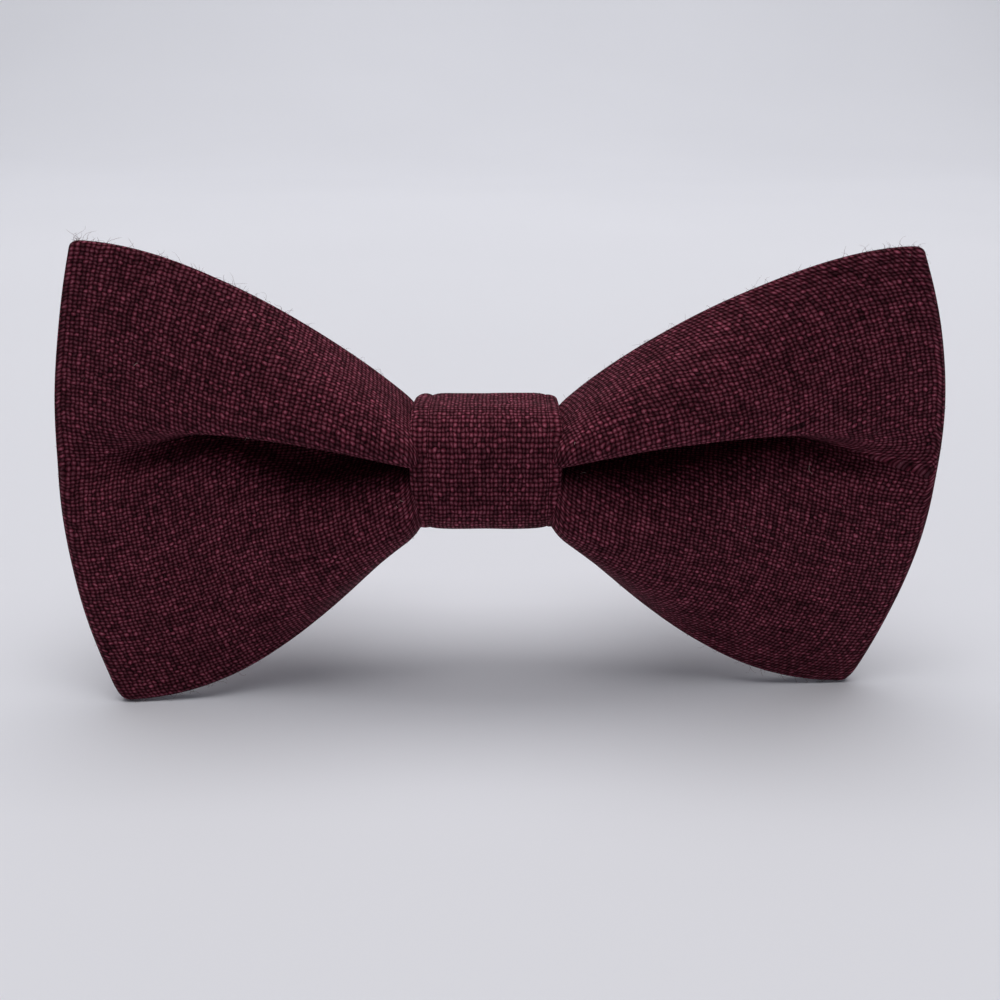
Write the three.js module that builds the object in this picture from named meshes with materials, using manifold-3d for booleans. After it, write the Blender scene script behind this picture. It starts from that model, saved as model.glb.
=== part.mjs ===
// Pre-tied bow tie in a plain-woven linen: one long loop of lined cloth, pinched at its middle into
// an M-shaped pleat, held by a wrapped knot, with a folded neck band behind it that ends in a hook
// and an eye. Millimetres, +Z up, X along the bow, with the front facing -Y.
import * as THREE from 'three';
import { mergeVertices } from 'three/addons/utils/BufferGeometryUtils.js';
import Module from 'manifold-3d';

const wasm = await Module();
wasm.setup();

// ---------------------------------------------------------------- driving dimensions
// Cloth, seen through its thickness: a ply, a gap, the interlining, a gap and a ply.
const PLY = 0.4;
const LINING_GAP = 0.25;
const LINING = 0.5;
const BOW_CLOTH = 2 * PLY + 2 * LINING_GAP + LINING;
const BAND_LINING = 0.3;
const BAND_CLOTH = 2 * PLY + 2 * LINING_GAP + BAND_LINING;

// Bow. The wings sweep forward from the knot and hang a little below its middle.
const BOW_WIDTH = 120;
const CORNER_WIDTH = 106;
const BOW_HEIGHT = 65;
const PINCH_LENGTH = 18.6;
const PINCH_HEIGHT = 10.8;
const FLARE_POWER = 1.75;
const WING_TWIST = THREE.MathUtils.degToRad(5);
const WING_SWEEP = 3;
const WING_DROP = 2;
const FADE_POWER = 3.5;
const PANEL_SPACING = 2.5;
const PANEL_PUFF = 1.8;
const FOLD_REACH = 1.7;
const SEAM_GAP = 0.6;

// The pleat's depth at each crease: inside the knot, beside it, and how fast it fades outwards.
const RIDGE = { inside: 2.4, beside: 5.5, fade: 1.4 };
const VALLEY = { inside: 2.4, beside: 3.1, fade: 1.2 };
const MARGIN = { inside: 1.6, beside: 9.0, fade: 1.8 };
const PLEAT_RISE = 0.07;

// The panels' facets crowd towards the knot, where the cloth bends most.
const PANEL_STEPS = 10;
const PANEL_CROWDING = 2.2;
const PANEL_ROWS = 8;

// Knot
const KNOT_WIDTH = 18.9;
const KNOT_FRONT = -5.4;
const KNOT_BACK = 7.4;
const KNOT_INNER_HEIGHT = 14.2;
const KNOT_FRONT_POWER = 3.5;
const KNOT_BACK_POWER = 10;
const KNOT_STEPS = 26;
const WRAP_GAP = 0.9;
const WRAP_CAVITY_GAP = 0.7;
const WRAP_LINING_GAP = 3.6;
const BACK_FLAT = 0.05;

// Threads: the winding round the pleats, and the rows of stitches
const THREAD_SIDES = 5;
const WINDING = { radius: 0.25, turns: 3, pitch: 3, depth: 5.05, height: 6.7, stepsPerTurn: 22 };
const STITCH_RADIUS = 0.2;
const STITCH_GAP = 0.15;
const CLOSING_ROW = { halfLength: 7.5, pitch: 1.25, spread: 1.3 };
const TACK_PITCH = 0.9;
const EYE_TACK = { start: 1, end: 4.6, spread: 4 };
const TAIL_HEM = { start: 1, end: 2.8, spread: 4.5 };

// Neck band, folded flat in passes behind each wing
const BAND_WIDTH = 12;
const PASS_Y = [6.3, 8.9, 11.5, 14.1, 17.3];
const BAND_ROOT = 12.6;
const MIDDLE_REACH = 11.6;
const OUTER_TURN = 46;
const INNER_TURN = 21;
const RETURN_Y = 19.5;
const EYE_LAP_END = 35;
const TAIL_END = 24;
const TURN_STEPS = 6;
const PAST_END = 1;

// Hook, eye and slider
const WIRE = 1.2;
const BAR_X = 49.2;
const BAR_Y = 18.4;
const END_LOOP_RADIUS = 2.0;
const END_LOOP_ANGLE = THREE.MathUtils.degToRad(115);
const END_LOOP_STEPS = 8;
const NECKING = 5.2;
const SLOT_LENGTH = 2.8;
const SLOT_HALF_WIDTH = 6.4;
const RAIL_HALF_WIDTH = 7.6;
const EYE_OPENING = { length: 5, halfWidth: 4.5 };
const HOOK_TONGUE = { reach: 59.4, halfWidth: 3.5, gap: 2.2, back: 55, thickness: 0.96 };
const SLIDER = { centre: 37, length: 7, wall: 1.0, clearance: 0.3 };

// ---------------------------------------------------------------- materials
function cloth(color) {
  return new THREE.MeshStandardMaterial({ color, roughness: 0.92, metalness: 0 });
}

function metal() {
  return new THREE.MeshStandardMaterial({ color: 0xb9bbbd, roughness: 0.32, metalness: 1 });
}

const BURGUNDY = 0x4a1a24;
const THREAD_RED = 0x3d1119;
const LINING_CREAM = 0xd8d0c0;

// ---------------------------------------------------------------- solids and booleans
function toSolid(geometry) {
  const bare = geometry.clone();
  bare.deleteAttribute('normal');
  bare.deleteAttribute('uv');
  const merged = mergeVertices(bare, 1e-4);
  const vertProperties = new Float32Array(merged.attributes.position.array);
  const triVerts = new Uint32Array(merged.index.array);
  return new wasm.Manifold(new wasm.Mesh({ numProp: 3, vertProperties, triVerts }));
}

function toGeometry(solid) {
  const mesh = solid.getMesh();
  const geometry = new THREE.BufferGeometry();
  geometry.setAttribute('position', new THREE.BufferAttribute(mesh.vertProperties, 3));
  geometry.setIndex(new THREE.BufferAttribute(mesh.triVerts, 1));
  return geometry;
}

function cut(outer, inner) {
  return toGeometry(toSolid(outer).subtract(toSolid(inner)));
}

function join(first, second) {
  return toGeometry(toSolid(first).add(toSolid(second)));
}

// Moves every vertex of a geometry to where `place` puts it.
function reshape(geometry, place) {
  const position = geometry.attributes.position;
  const point = new THREE.Vector3();
  for (let i = 0; i < position.count; i += 1) {
    point.fromBufferAttribute(position, i);
    place(point);
    position.setXYZ(i, point.x, point.y, point.z);
  }
  return geometry;
}

function named(name, geometry, material) {
  const mesh = new THREE.Mesh(geometry, material);
  mesh.name = name;
  return mesh;
}

// ---------------------------------------------------------------- the bow
const clamp = THREE.MathUtils.clamp;
const lerp = THREE.MathUtils.lerp;
const HALF_CLOTH = BOW_CLOTH / 2;
const PANEL_HALF_WIDTH = BOW_WIDTH / 2 - HALF_CLOTH;
const FOLD_START = PANEL_HALF_WIDTH - FOLD_REACH;
const CORNER_PULL = (BOW_WIDTH - CORNER_WIDTH) / 2;

// 0 at the knot's edge, 1 at the wing's outer fold
function outward(along) {
  const pinch = PINCH_LENGTH / 2;
  return clamp((along - pinch) / (PANEL_HALF_WIDTH - pinch), 0, 1);
}

function halfHeight(u) {
  const rise = 1 - (1 - u) ** FLARE_POWER;
  return lerp(PINCH_HEIGHT / 2, BOW_HEIGHT / 2, rise);
}

function creaseDepth(crease, u) {
  const opened = 1 - Math.exp(-u / PLEAT_RISE);
  return lerp(crease.inside, crease.beside, opened) * (1 - u) ** crease.fade;
}

// 1 at the knot, falling to 0 about two thirds of the way out
function nearKnot(u) {
  return (1 - u) ** FADE_POWER * (1 + FADE_POWER * u);
}

// The pleat runs from the valley at mid-height to a ridge halfway out and back to the margin.
function pleat(u, v) {
  const valley = creaseDepth(VALLEY, u);
  const ridge = -creaseDepth(RIDGE, u);
  const margin = creaseDepth(MARGIN, u);
  const out = Math.abs(v) * 2;
  return out < 1 ? lerp(valley, ridge, out) : lerp(ridge, margin, out - 1);
}

// A place on the loop: `side` is -1 or 1, `along` the distance from the middle, `turn` -90 degrees
// on the back panel, 90 on the front one and between them round the outer fold. v runs from -1 at
// the lower margin to 1 at the upper one, and r outwards through the cloth.
function onBow({ side, along, turn }, v, r, point) {
  const reach = along + (FOLD_REACH + r) * Math.cos(turn);
  const u = outward(reach);
  const puff = PANEL_PUFF * Math.sin(Math.PI * u) * (1 - v * v);
  const apart = (PANEL_SPACING + puff) / 2;
  const height = v * halfHeight(u);
  const settled = 1 - nearKnot(u);
  const lean = WING_SWEEP * settled + side * Math.tan(WING_TWIST) * u * height;
  const y = pleat(u, v) - (apart + r) * Math.sin(turn) - lean;
  point.set(side * (reach - CORNER_PULL * v * v * u), y, height - WING_DROP * settled);
}

// The stations that the cloth passes, from its left end at the centre back round to its right end.
function bowStations(seamGap) {
  const back = -Math.PI / 2;
  const front = Math.PI / 2;
  const share = (i) => (i / PANEL_STEPS) ** PANEL_CROWDING;
  const steps = Array.from({ length: PANEL_STEPS + 1 }, (_, i) => share(i));
  const panel = steps.map((step) => lerp(PINCH_LENGTH / 2, FOLD_START, step));
  const turns = [-Math.PI / 4, 0, Math.PI / 4];
  const half = (side) => [
    { side, along: seamGap / 2, turn: back },
    ...panel.map((along) => ({ side, along, turn: back })),
    ...turns.map((turn) => ({ side, along: FOLD_START, turn })),
    ...panel.map((along) => ({ side, along, turn: front })).reverse(),
  ];
  return [...half(-1), ...half(1).reverse()];
}

// A slab of cloth round the whole loop, `thickness` through and `inset` short of each margin.
function bowSlab(thickness, inset, seamGap) {
  const stations = bowStations(seamGap);
  const steps = stations.length - 1;
  const limit = 1 - (2 * inset) / BOW_HEIGHT;
  const slab = new THREE.BoxGeometry(1, 2, thickness, steps, PANEL_ROWS, 1);
  return reshape(slab, (point) => {
    const station = stations[Math.round((point.x + 0.5) * steps)];
    onBow(station, clamp(point.y, -limit, limit), point.z, point);
  });
}

function bowFabric() {
  const hollow = bowSlab(BOW_CLOTH - 2 * PLY, PLY, SEAM_GAP / 3);
  return named('bow_fabric', cut(bowSlab(BOW_CLOTH, 0, SEAM_GAP), hollow), cloth(BURGUNDY));
}

function bowInterlining() {
  const inset = PLY + LINING_GAP;
  return named('bow_interlining', bowSlab(LINING, inset, SEAM_GAP * 2), cloth(LINING_CREAM));
}

// ---------------------------------------------------------------- the knot
const KNOT_MIDDLE = (KNOT_FRONT + KNOT_BACK) / 2;
const KNOT_HALF_DEPTH = (KNOT_BACK - KNOT_FRONT) / 2;

function power(value, exponent) {
  return Math.sign(value) * Math.abs(value) ** exponent;
}

// A place on the knot's loop: `around` goes from the centre back over the top, and r outwards.
function onKnot(around, x, r, point) {
  const cos = Math.cos(around);
  const exponent = 2 / (cos < 0 ? KNOT_FRONT_POWER : KNOT_BACK_POWER);
  const depth = power(cos, exponent) * (KNOT_HALF_DEPTH + r);
  const y = KNOT_MIDDLE + Math.min(depth, KNOT_HALF_DEPTH + r - BACK_FLAT);
  const z = power(Math.sin(around), exponent) * (KNOT_INNER_HEIGHT / 2 + r);
  point.set(x, y, z);
}

// A slab round the knot whose ends stop `gap` apart at the centre back
function knotSlab(inner, outer, halfWidth, gap) {
  const end = Math.asin((gap / KNOT_INNER_HEIGHT) ** (KNOT_BACK_POWER / 2));
  const slab = new THREE.BoxGeometry(1, 2 * halfWidth, 1, KNOT_STEPS, 1, 1);
  return reshape(slab, (point) => {
    const around = lerp(end, 2 * Math.PI - end, point.x + 0.5);
    onKnot(around, point.y, lerp(inner, outer, point.z + 0.5), point);
  });
}

function knotWrap() {
  const outer = knotSlab(0, BAND_CLOTH, KNOT_WIDTH / 2, WRAP_GAP);
  const hollow = knotSlab(PLY, BAND_CLOTH - PLY, KNOT_WIDTH / 2 - PLY, WRAP_CAVITY_GAP);
  return named('knot_wrap', cut(outer, hollow), cloth(BURGUNDY));
}

function knotInterlining() {
  const inner = PLY + LINING_GAP;
  const lining = knotSlab(inner, inner + BAND_LINING, KNOT_WIDTH / 2 - inner, WRAP_LINING_GAP);
  return named('knot_interlining', lining, cloth(LINING_CREAM));
}

// A thread of the given radius along a line of points.
function thread(points, radius, steps) {
  const section = new THREE.Shape();
  for (let i = 0; i < THREAD_SIDES; i += 1) {
    const angle = (2 * Math.PI * i) / THREAD_SIDES;
    const corner = [radius * Math.cos(angle), radius * Math.sin(angle)];
    if (i === 0) section.moveTo(...corner);
    else section.lineTo(...corner);
  }
  const extrudePath = new THREE.CatmullRomCurve3(points, false, 'catmullrom', 0.3);
  return new THREE.ExtrudeGeometry(section, { steps, extrudePath, bevelEnabled: false });
}

// The thread wound round the pleats, under the wrap, to hold them together.
function gatheringThread() {
  const { radius, turns, pitch, depth, height, stepsPerTurn } = WINDING;
  const exponent = 2 / KNOT_FRONT_POWER;
  const steps = stepsPerTurn * turns;
  const points = [];
  for (let i = 0; i <= steps; i += 1) {
    const around = (2 * Math.PI * turns * i) / steps;
    const x = pitch * turns * (i / steps - 0.5);
    const y = power(Math.cos(around), exponent) * depth;
    points.push(new THREE.Vector3(x, y, power(Math.sin(around), exponent) * height));
  }
  return named('gathering_thread', thread(points, radius, steps), cloth(THREAD_RED));
}

// ---------------------------------------------------------------- stitches
// One thread that goes to and fro across a line along X, `spread` either side of mid-height.
function zigzag(x0, x1, y, pitch, spread) {
  const count = Math.round((x1 - x0) / pitch);
  const points = [];
  for (let i = 0; i <= count; i += 1) {
    points.push(new THREE.Vector3(x0 + i * pitch, y, i % 2 ? spread : -spread));
  }
  return thread(points, STITCH_RADIUS, count * 2);
}

function knotStitches() {
  const { halfLength, pitch, spread } = CLOSING_ROW;
  const y = KNOT_BACK + BAND_CLOTH - BACK_FLAT + STITCH_GAP + STITCH_RADIUS;
  const row = zigzag(-halfLength, halfLength, y, pitch, spread);
  return named('knot_closing_stitches', row, cloth(THREAD_RED));
}

// Stitches on the band's last pass, on the +X side unless turned round by `side`
function tackStitches(name, side, from, { start, end, spread }) {
  const y = RETURN_Y + BAND_CLOTH / 2 + STITCH_GAP + STITCH_RADIUS;
  const ends = [side * (from + start), side * (from + end)].sort((a, b) => a - b);
  return named(name, zigzag(...ends, y, TACK_PITCH, spread), cloth(THREAD_RED));
}

// ---------------------------------------------------------------- the neck band
// A half turn from one pass to the next, at `x`, bulging in the direction `bulge`.
function halfTurn(x, bulge, from, to) {
  const radius = (to - from) / 2;
  const points = [];
  for (let i = 0; i <= TURN_STEPS; i += 1) {
    const angle = -Math.PI / 2 + (Math.PI * i) / TURN_STEPS;
    const reach = x + bulge * radius * Math.cos(angle);
    points.push(new THREE.Vector2(reach, from + radius * (1 + Math.sin(angle))));
  }
  return points;
}

// The loop round the bar of the hook or the eye.
function endLoop() {
  const points = [];
  for (let i = 0; i <= END_LOOP_STEPS; i += 1) {
    const angle = lerp(-END_LOOP_ANGLE, END_LOOP_ANGLE, i / END_LOOP_STEPS);
    const x = BAR_X + END_LOOP_RADIUS * Math.cos(angle);
    points.push(new THREE.Vector2(x, BAR_Y + END_LOOP_RADIUS * Math.sin(angle)));
  }
  return points;
}

// The band's centre line on the +X side, from beside the knot to the end of its return.
function bandLine(returnEnd) {
  const necking = BAR_X - NECKING;
  const last = PASS_Y[PASS_Y.length - 1];
  return [
    new THREE.Vector2(BAND_ROOT, PASS_Y[0]),
    ...halfTurn(OUTER_TURN, 1, PASS_Y[0], PASS_Y[1]),
    ...halfTurn(INNER_TURN, -1, PASS_Y[1], PASS_Y[2]),
    ...halfTurn(OUTER_TURN, 1, PASS_Y[2], PASS_Y[3]),
    ...halfTurn(INNER_TURN, -1, PASS_Y[3], last),
    new THREE.Vector2(necking, last),
    ...endLoop(),
    new THREE.Vector2(necking, RETURN_Y),
    new THREE.Vector2(returnEnd, RETURN_Y),
  ];
}

// The outline of a ribbon of a given thickness along a line, with mitred corners.
function ribbon(line, thickness, extra) {
  const first = line[0].clone().sub(line[1]).setLength(extra).add(line[0]);
  const end = line.length - 1;
  const last = line[end].clone().sub(line[end - 1]).setLength(extra).add(line[end]);
  const points = [first, ...line.slice(1, end), last];
  const left = [];
  const right = [];
  points.forEach((point, i) => {
    const before = points[Math.max(i - 1, 0)];
    const after = points[Math.min(i + 1, end)];
    const into = point.clone().sub(before).normalize();
    const out = after.clone().sub(point).normalize();
    const along = into.add(out).normalize();
    const straight = i === 0 ? 1 : along.dot(point.clone().sub(before).normalize());
    const normal = new THREE.Vector2(-along.y, along.x).multiplyScalar(thickness / 2 / straight);
    left.push(point.clone().add(normal));
    right.push(point.clone().sub(normal));
  });
  return [...left, ...right.reverse()];
}

// A ribbon standing on edge: its outline in X and Y, extruded over `height` about mid-height.
function standing(outline, side, height) {
  const shape = new THREE.Shape(outline.map((point) => new THREE.Vector2(side * point.x, point.y)));
  const geometry = new THREE.ExtrudeGeometry(shape, { depth: height, bevelEnabled: false });
  return geometry.translate(0, 0, -height / 2);
}

function bandFabric(line, side) {
  const outer = standing(ribbon(line, BAND_CLOTH, 0), side, BAND_WIDTH);
  const cavity = ribbon(line, BAND_CLOTH - 2 * PLY, PAST_END);
  return cut(outer, standing(cavity, side, BAND_WIDTH - 2 * PLY));
}

function bandInterlining(line, side) {
  return standing(ribbon(line, BAND_LINING, -PLY), side, BAND_WIDTH - 2 * (PLY + LINING_GAP));
}

function bandPieces(name, line, side) {
  return [
    named(`${name}_fabric`, bandFabric(line, side), cloth(BURGUNDY)),
    named(`${name}_interlining`, bandInterlining(line, side), cloth(LINING_CREAM)),
  ];
}

function bandMiddle() {
  const line = [-MIDDLE_REACH, 0, MIDDLE_REACH].map((x) => new THREE.Vector2(x, PASS_Y[0]));
  return bandPieces('neck_band_middle', line, 1);
}

// ---------------------------------------------------------------- hook, eye and slider
const SLOT_START = BAR_X + WIRE / 2;
const SLOT_END = SLOT_START + SLOT_LENGTH;
const CROSS_BAR_END = SLOT_END + WIRE;

function rectangle(shape, x0, x1, halfWidth) {
  shape.moveTo(x0, -halfWidth);
  shape.lineTo(x1, -halfWidth);
  shape.lineTo(x1, halfWidth);
  shape.lineTo(x0, halfWidth);
  shape.closePath();
  return shape;
}

// A flat frame in X and Z with its corners rounded, narrowing from `wide` to `narrow` outwards.
function frameShape(x1, wide, narrow, shoulder) {
  const x0 = BAR_X - WIRE / 2;
  const shape = new THREE.Shape();
  shape.moveTo(x0 + WIRE, -wide);
  shape.lineTo(shoulder, -wide);
  shape.quadraticCurveTo(shoulder + WIRE, -wide, shoulder + WIRE, -narrow);
  shape.lineTo(x1 - WIRE, -narrow);
  shape.quadraticCurveTo(x1, -narrow, x1, -narrow + WIRE);
  shape.lineTo(x1, narrow - WIRE);
  shape.quadraticCurveTo(x1, narrow, x1 - WIRE, narrow);
  shape.lineTo(shoulder + WIRE, narrow);
  shape.quadraticCurveTo(shoulder + WIRE, wide, shoulder, wide);
  shape.lineTo(x0 + WIRE, wide);
  shape.quadraticCurveTo(x0, wide, x0, wide - WIRE);
  shape.lineTo(x0, -wide + WIRE);
  shape.quadraticCurveTo(x0, -wide, x0 + WIRE, -wide);
  return shape;
}

// A flat shape drawn in X and Z, given a thickness in Y about the bar.
function plate(shape, side) {
  const settings = { depth: WIRE, bevelEnabled: false, curveSegments: 3 };
  const geometry = new THREE.ExtrudeGeometry(shape, settings);
  geometry.translate(0, 0, -WIRE / 2).rotateX(Math.PI / 2);
  geometry.translate(0, BAR_Y, 0);
  return side > 0 ? geometry : geometry.rotateZ(Math.PI).translate(0, 2 * BAR_Y, 0);
}

function strapSlot() {
  return rectangle(new THREE.Path(), SLOT_START, SLOT_END, SLOT_HALF_WIDTH);
}

function bandEye() {
  const end = CROSS_BAR_END + EYE_OPENING.length + WIRE;
  const shape = frameShape(end, RAIL_HALF_WIDTH, EYE_OPENING.halfWidth + WIRE, SLOT_END);
  shape.holes.push(strapSlot());
  const openingEnd = CROSS_BAR_END + EYE_OPENING.length;
  shape.holes.push(rectangle(new THREE.Path(), CROSS_BAR_END, openingEnd, EYE_OPENING.halfWidth));
  return named('band_eye', plate(shape, -1), metal());
}

function bandHook() {
  const shape = frameShape(CROSS_BAR_END + WIRE, RAIL_HALF_WIDTH, RAIL_HALF_WIDTH - WIRE, SLOT_END);
  shape.holes.push(strapSlot());
  const { reach, halfWidth, gap, back, thickness } = HOOK_TONGUE;
  const returnY = BAR_Y + gap + WIRE / 2;
  const line = [
    new THREE.Vector2(SLOT_END + WIRE / 2, BAR_Y),
    ...halfTurn(reach - (returnY - BAR_Y) / 2, 1, BAR_Y, returnY),
    new THREE.Vector2(back, returnY),
  ];
  const tongue = standing(ribbon(line, thickness, 0), 1, 2 * halfWidth);
  return named('band_hook', join(plate(shape, 1), tongue), metal());
}

function bandSlider() {
  const { centre, length, wall, clearance } = SLIDER;
  const front = PASS_Y[PASS_Y.length - 1] - BAND_CLOTH / 2 - clearance;
  const back = RETURN_Y + BAND_CLOTH / 2 + clearance;
  const halfWidth = BAND_WIDTH / 2 + clearance;
  const ring = rectangle(new THREE.Shape(), front - wall, back + wall, halfWidth + wall);
  ring.holes.push(rectangle(new THREE.Path(), front, back, halfWidth));
  const geometry = new THREE.ExtrudeGeometry(ring, { depth: length, bevelEnabled: false });
  geometry.rotateX(Math.PI / 2).rotateZ(Math.PI / 2);
  return named('band_slider', geometry.translate(centre - length / 2, 0, 0), metal());
}

// ---------------------------------------------------------------- assembly
function build() {
  const bowTie = new THREE.Group();
  bowTie.add(bowFabric(), bowInterlining(), gatheringThread());
  bowTie.add(knotWrap(), knotInterlining(), knotStitches());
  bowTie.add(...bandMiddle());
  bowTie.add(...bandPieces('left_band', bandLine(EYE_LAP_END), -1), bandEye());
  bowTie.add(tackStitches('eye_bar_tack', -1, EYE_LAP_END, EYE_TACK));
  bowTie.add(...bandPieces('right_band', bandLine(TAIL_END), 1), bandHook(), bandSlider());
  bowTie.add(tackStitches('tail_hem_stitches', 1, TAIL_END, TAIL_HEM));

  // The origin is below the middle, on the surface that the bow stands on.
  const box = new THREE.Box3().setFromObject(bowTie);
  const middle = box.getCenter(new THREE.Vector3());
  bowTie.position.set(-middle.x, -middle.y, -box.min.z);
  bowTie.updateMatrixWorld(true);
  return bowTie;
}

export default build();
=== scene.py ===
"""A pre-tied linen bow tie: a pleated loop of lined cloth, a wrapped knot, and a folded neck band.

Shapes are worked out in millimetres from the middle of the knot, with X along the bow, Y to its back
and Z up, and are moved into the frame, in metres, as each piece is made.
"""

import math
from random import Random

import bmesh
import bpy
import numpy as np
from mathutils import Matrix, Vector, noise


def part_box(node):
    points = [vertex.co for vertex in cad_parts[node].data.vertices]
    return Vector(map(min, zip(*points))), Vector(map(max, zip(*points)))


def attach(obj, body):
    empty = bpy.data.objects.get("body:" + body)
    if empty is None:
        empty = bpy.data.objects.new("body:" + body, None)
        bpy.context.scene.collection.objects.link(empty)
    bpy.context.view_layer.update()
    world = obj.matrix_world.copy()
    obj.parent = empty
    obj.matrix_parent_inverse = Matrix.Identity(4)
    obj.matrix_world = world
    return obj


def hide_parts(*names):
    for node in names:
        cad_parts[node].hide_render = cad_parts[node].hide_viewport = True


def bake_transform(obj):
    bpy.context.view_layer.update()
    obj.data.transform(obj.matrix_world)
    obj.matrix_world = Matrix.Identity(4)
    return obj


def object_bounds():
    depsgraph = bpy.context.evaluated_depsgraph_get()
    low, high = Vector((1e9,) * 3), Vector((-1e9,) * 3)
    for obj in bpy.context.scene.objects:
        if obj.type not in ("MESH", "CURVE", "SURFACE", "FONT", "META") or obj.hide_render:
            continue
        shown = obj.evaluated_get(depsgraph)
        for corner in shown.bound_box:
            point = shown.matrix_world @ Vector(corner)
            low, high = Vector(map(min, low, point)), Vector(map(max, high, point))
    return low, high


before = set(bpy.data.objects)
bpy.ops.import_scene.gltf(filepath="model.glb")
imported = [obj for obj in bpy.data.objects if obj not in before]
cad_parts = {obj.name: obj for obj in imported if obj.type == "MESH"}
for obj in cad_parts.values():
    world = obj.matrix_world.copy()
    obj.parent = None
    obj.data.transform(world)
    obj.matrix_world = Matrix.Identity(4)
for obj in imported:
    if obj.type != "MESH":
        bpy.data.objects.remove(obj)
CAD_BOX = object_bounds()
MM = 0.001


def middle_of(node):
    low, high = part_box(node)
    return (low + high) / 2


KNOT = middle_of("gathering_thread")
KNOT.x = 0.0

# ---------------------------------------------------------------- cloth
PLY = 0.35
CLOTH = 1.25
STRAP_CLOTH = 1.3
LINING = 0.25
WARP_PITCH = 0.64
WEFT_PITCH = 0.53
THREAD_HEIGHT = 0.58
THREAD_WAVE = 0.42
THREAD_FULLNESS = 0.8
SLUB_STRETCH = 0.09
SLUB_SCALE = 1.37

# ---------------------------------------------------------------- bow
HALF_WIDTH = (CAD_BOX[1].x - CAD_BOX[0].x) / 2 / MM
CORNER_PULL = {-1: 5.0, 1: 7.0}
KNOT_SHIFT = -1.5
HALF_HEIGHT = 31.87
KNOT_EDGE = 9.45
TOP_AT_KNOT = {-1: 8.2, 1: 7.6}
BOTTOM_AT_KNOT = 7.8
TOP_FLARE = 1.75
BOTTOM_FLARE = 1.86
SWEEP = 3.0
DROP = 2.0
TWIST = math.tan(math.radians(5))
MARGIN_CURL = 8.0
PANEL_GAP = 1.4
BACK_PUFF = 0.9
BACK_INSET = 0.9
GATHER_DEPTH = 0.9
CLEFT_CLEARANCE = 1.45
FOLD_INSET = 1.3
FOLD_TURNS = 5
INNER_STATIONS = [0.0, 3.0, 6.0, 7.6, 8.5]
LOWER_CORNER_NIP = 0.5
SQUEEZE = 0.8
SQUEEZE_START = 8.3
SQUEEZE_LENGTH = 2.4
RIPPLE = 0.3
RIPPLE_RATE = 0.07

# ---------------------------------------------------------------- knot wrap
WRAP_HALF_WIDTH = 9.8
WRAP_FRONT = -7.0
WRAP_BACK = 8.95
WRAP_HALF_HEIGHT = 8.65
WRAP_DROP = 0.3
WRAP_FRONT_ROUNDNESS = 2.9
WRAP_BACK_ROUNDNESS = 7.0
WRAP_FOLDS = [(-0.79, 0.045), (0.86, 0.03)]
WRAP_FOLD_DEPTH = 0.3
WRAP_WAVE = 0.22
WRAP_LUMPS = 0.14
WRAP_EDGE_ROLL = 0.5
WRAP_ROLL_START = 0.86
WRAP_BULGE = 0.12
WRAP_GAP = 0.9
WRAP_STATIONS = 61
WRAP_MIDDLE_STATION = 30
WRAP_ROWS = np.array([-1, -0.975, -0.93, -0.87, -0.82, -0.79, -0.76, -0.68, -0.5, -0.25, 0, 0.25, 0.5,
                      0.72, 0.83, 0.86, 0.89, 0.94, 0.975, 1])

# ---------------------------------------------------------------- neck band
BAND_HALF_WIDTH = 6.0
PASS_DEPTHS = [6.3, 8.9, 11.5, 14.1, 17.3]
OUTER_TURN = 46
INNER_TURN = 21
RETURN_DEPTH = 19.5
EYE_LAP_END = 35
TAIL_END = 24
BAR_X = 49.2
BAR_DEPTH = 18.4
END_LOOP_RADIUS = 2.0
END_LOOP_REACH = math.radians(115)
NECKING = 5.2
HINGE_X = 12.6
TURN_STEPS = 8
BAND_ROWS = np.array([-1, -0.96, -0.85, -0.6, -0.2, 0.2, 0.6, 0.85, 0.96, 1]) * (BAND_HALF_WIDTH - 0.15)
BAND_STATIONS = 150
BAND_RIPPLE = 0.08

# ---------------------------------------------------------------- loose fibres
KNOT_CLEAR = 11.0
FUZZ_RADIUS = 0.022
LINT_RADIUS = 0.026


def lerp(a, b, t):
    return a + (b - a) * t


def lerp3(a, b, t):
    return tuple(lerp(x, y, t) for x, y in zip(a, b))


def ease(t):
    t = min(max(t, 0.0), 1.0)
    return t * t * (3 - 2 * t)


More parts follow.
